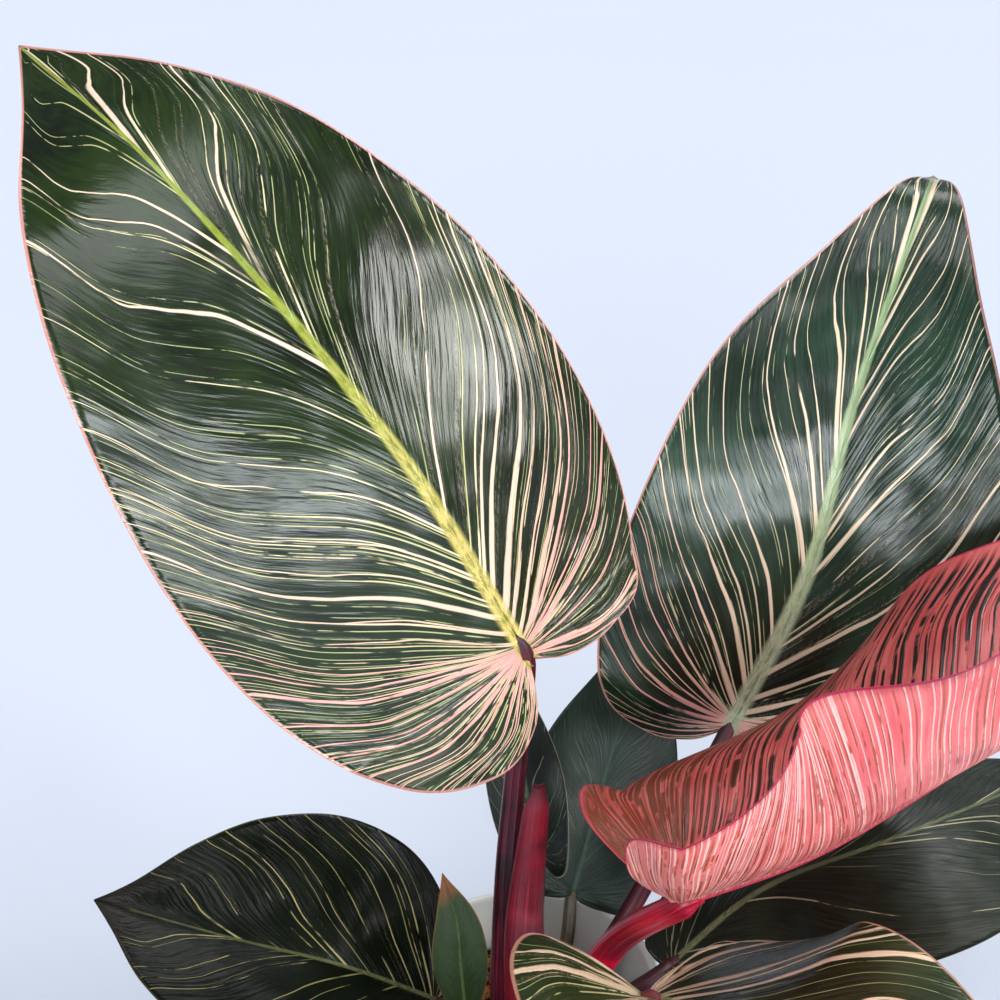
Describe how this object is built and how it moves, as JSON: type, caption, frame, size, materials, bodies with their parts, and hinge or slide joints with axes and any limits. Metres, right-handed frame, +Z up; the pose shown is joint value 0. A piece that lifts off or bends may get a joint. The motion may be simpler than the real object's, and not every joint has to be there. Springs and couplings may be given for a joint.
{
  "type": "potted pink birkin philodendron",
  "caption": "Heart-leaved foliage plant with cream and pink pinstripes, one rolled pink leaf and maroon stalks, standing in bark mix in a small round white glazed pot.",
  "frame": {"origin": "centre of the pot's flat underside, on the surface it stands on", "axes": "+Z up along the pot's axis; -Y is the front, from which the large striped leaves show their upper faces; +X is to the right seen from the front"},
  "size_m": [0.3436, 0.2565, 0.3721],
  "materials": {
    "pot_glaze": "gloss",
    "bark_mix": "matte",
    "crown": "matte",
    "sheath": "satin",
    "blade_striped": "gloss",
    "blade_pink": "satin",
    "blade_green": "satin",
    "stalk_red": "satin",
    "stalk_maroon": "satin",
    "stalk_brown": "satin"
  },
  "bodies": {
    "root": {"pot": "pot_glaze", "soil": "bark_mix", "crown": "crown", "sheath": "sheath", "blade_striped_left": "blade_striped", "blade_striped_right": "blade_striped", "blade_striped_front": "blade_striped", "blade_pink": "blade_pink", "blade_low_left": "blade_green", "blade_small_green": "blade_green", "blade_back": "blade_green", "blade_low_right": "blade_green", "blade_slim_back": "blade_green", "stalk_pink": "stalk_red", "stalk_striped_left": "stalk_maroon", "stalk_striped_right": "stalk_maroon", "stalk_striped_front": "stalk_maroon", "stalk_slim_back": "stalk_maroon", "stalk_low_right": "stalk_maroon", "stalk_low_left": "stalk_brown", "stalk_small_green": "stalk_brown", "stalk_back": "stalk_brown"}
  },
  "joints": []
}
